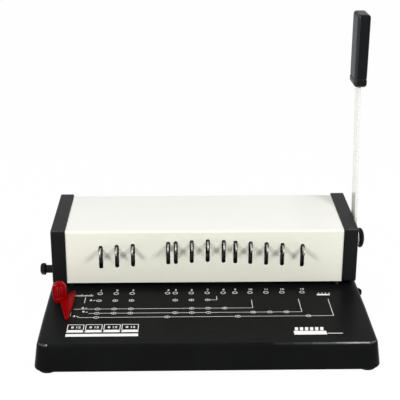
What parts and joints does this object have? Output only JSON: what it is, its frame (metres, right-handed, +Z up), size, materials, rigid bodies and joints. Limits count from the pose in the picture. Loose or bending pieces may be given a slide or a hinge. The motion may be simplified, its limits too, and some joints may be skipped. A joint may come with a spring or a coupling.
{
  "type": "multi-hole punch",
  "caption": "Table-top lever punch for loose-leaf sheets: black paper table, cream slotted housing, pull tabs for the pins, red sliding edge guide and a tall lever with a black grip.",
  "frame": {"origin": "middle of the whole outline, on the surface the feet stand on", "axes": "+X along the row of holes towards the lever side, +Y from the paper table to the back, +Z up"},
  "size_m": [0.401, 0.273, 0.3517],
  "materials": {
    "black_coat": "fine black powder coat",
    "cream_coat": "smooth cream powder coat",
    "pale_coat": "pale grey satin coat on flat steel, light enough to mirror its neighbours faintly",
    "black_plastic": "moulded satin black plastic",
    "gloss_black": "glossy moulded black plastic",
    "red_plastic": "glossy moulded red plastic",
    "bright_steel": "bright zinc-plated steel",
    "tool_steel": "ground tool steel",
    "grey_steel": "plain mill-finish steel",
    "spring_steel": "oiled spring wire",
    "bronze": "sintered bronze",
    "rubber": "black moulded rubber"
  },
  "bodies": {
    "machine_base": {"base_shell": "black_coat", "bottom_plate": "grey_steel", "foot_front_left": "rubber", "foot_front_right": "rubber", "foot_rear_left": "rubber", "foot_rear_right": "rubber", "die_plate": "tool_steel", "guide_plate": "tool_steel", "side_frame_left": "grey_steel", "side_frame_right": "grey_steel", "shaft_bush_left": "bronze", "shaft_bush_right": "bronze", "housing_cover": "cream_coat", "end_cap_left": "black_plastic", "end_cap_right": "black_plastic", "guide_post_left": "tool_steel", "guide_post_right": "tool_steel", "return_spring_left": "spring_steel", "return_spring_right": "spring_steel", "edge_guide_rod": "bright_steel"},
    "press": {"press_bar": "grey_steel", "pin_carrier": "bright_steel", "rack_left": "tool_steel", "rack_right": "tool_steel", "punch_pin_01": "tool_steel", "punch_pin_02": "tool_steel", "punch_pin_03": "tool_steel", "punch_pin_04": "tool_steel", "punch_pin_05": "tool_steel", "punch_pin_06": "tool_steel", "punch_pin_07": "tool_steel", "punch_pin_08": "tool_steel", "punch_pin_09": "tool_steel", "punch_pin_10": "tool_steel", "punch_pin_11": "tool_steel", "punch_pin_12": "tool_steel", "punch_pin_13": "tool_steel"},
    "lever": {"lever_arm": "pale_coat", "lever_grip": "gloss_black", "pivot_cap": "gloss_black", "drive_shaft": "tool_steel", "pinion_left": "tool_steel", "pinion_right": "tool_steel"},
    "margin_selector": {"margin_bar": "bright_steel", "margin_knob": "black_plastic"},
    "edge_guide": {"edge_guide": "red_plastic"},
    "chip_drawer": {"chip_drawer": "black_plastic"},
    "pull_tab_01": {"pull_tab_01": "bright_steel"},
    "pull_tab_02": {"pull_tab_02": "bright_steel"},
    "pull_tab_03": {"pull_tab_03": "bright_steel"},
    "pull_tab_04": {"pull_tab_04": "bright_steel"},
    "pull_tab_05": {"pull_tab_05": "bright_steel"},
    "pull_tab_06": {"pull_tab_06": "bright_steel"},
    "pull_tab_07": {"pull_tab_07": "bright_steel"},
    "pull_tab_08": {"pull_tab_08": "bright_steel"},
    "pull_tab_09": {"pull_tab_09": "bright_steel"},
    "pull_tab_10": {"pull_tab_10": "bright_steel"},
    "pull_tab_11": {"pull_tab_11": "bright_steel"},
    "pull_tab_12": {"pull_tab_12": "bright_steel"},
    "pull_tab_13": {"pull_tab_13": "bright_steel"}
  },
  "joints": [
    {"name": "lever_swing", "type": "hinge", "parent": "machine_base", "child": "lever", "pos_m": [0.00175, 0.0615, 0.078], "axis": [1, 0, 0], "range_deg": [0, 85]},
    {"name": "press_slide", "type": "slide", "parent": "machine_base", "child": "press", "axis": [0, 0, -1], "range_m": [0, 0.013], "stiffness_N_per_m": 2000, "springref_m": -0.015, "deforming": ["return_spring_left", "return_spring_right"]},
    {"name": "margin_turn", "type": "hinge", "parent": "machine_base", "child": "margin_selector", "pos_m": [0.00175, 0.0535, 0.042], "axis": [1, 0, 0], "continuous": true},
    {"name": "edge_guide_slide", "type": "slide", "parent": "machine_base", "child": "edge_guide", "axis": [1, 0, 0], "range_m": [0, 0.06]},
    {"name": "chip_drawer_slide", "type": "slide", "parent": "machine_base", "child": "chip_drawer", "axis": [1, 0, 0], "range_m": [0, 0.25]},
    {"name": "pull_tab_01_slide", "type": "slide", "parent": "press", "child": "pull_tab_01", "axis": [0, -1, 0], "range_m": [0, 0.008]},
    {"name": "pull_tab_02_slide", "type": "slide", "parent": "press", "child": "pull_tab_02", "axis": [0, -1, 0], "range_m": [0, 0.008]},
    {"name": "pull_tab_03_slide", "type": "slide", "parent": "press", "child": "pull_tab_03", "axis": [0, -1, 0], "range_m": [0, 0.008]},
    {"name": "pull_tab_04_slide", "type": "slide", "parent": "press", "child": "pull_tab_04", "axis": [0, -1, 0], "range_m": [0, 0.008]},
    {"name": "pull_tab_05_slide", "type": "slide", "parent": "press", "child": "pull_tab_05", "axis": [0, -1, 0], "range_m": [0, 0.008]},
    {"name": "pull_tab_06_slide", "type": "slide", "parent": "press", "child": "pull_tab_06", "axis": [0, -1, 0], "range_m": [0, 0.008]},
    {"name": "pull_tab_07_slide", "type": "slide", "parent": "press", "child": "pull_tab_07", "axis": [0, -1, 0], "range_m": [0, 0.008]},
    {"name": "pull_tab_08_slide", "type": "slide", "parent": "press", "child": "pull_tab_08", "axis": [0, -1, 0], "range_m": [0, 0.008]},
    {"name": "pull_tab_09_slide", "type": "slide", "parent": "press", "child": "pull_tab_09", "axis": [0, -1, 0], "range_m": [0, 0.008]},
    {"name": "pull_tab_10_slide", "type": "slide", "parent": "press", "child": "pull_tab_10", "axis": [0, -1, 0], "range_m": [0, 0.008]},
    {"name": "pull_tab_11_slide", "type": "slide", "parent": "press", "child": "pull_tab_11", "axis": [0, -1, 0], "range_m": [0, 0.008]},
    {"name": "pull_tab_12_slide", "type": "slide", "parent": "press", "child": "pull_tab_12", "axis": [0, -1, 0], "range_m": [0, 0.008]},
    {"name": "pull_tab_13_slide", "type": "slide", "parent": "press", "child": "pull_tab_13", "axis": [0, -1, 0], "range_m": [0, 0.008]}
  ],
  "couplings": [
    {"joint": "press_slide", "follows": "lever_swing", "m_per_rad": 0.008762}
  ]
}
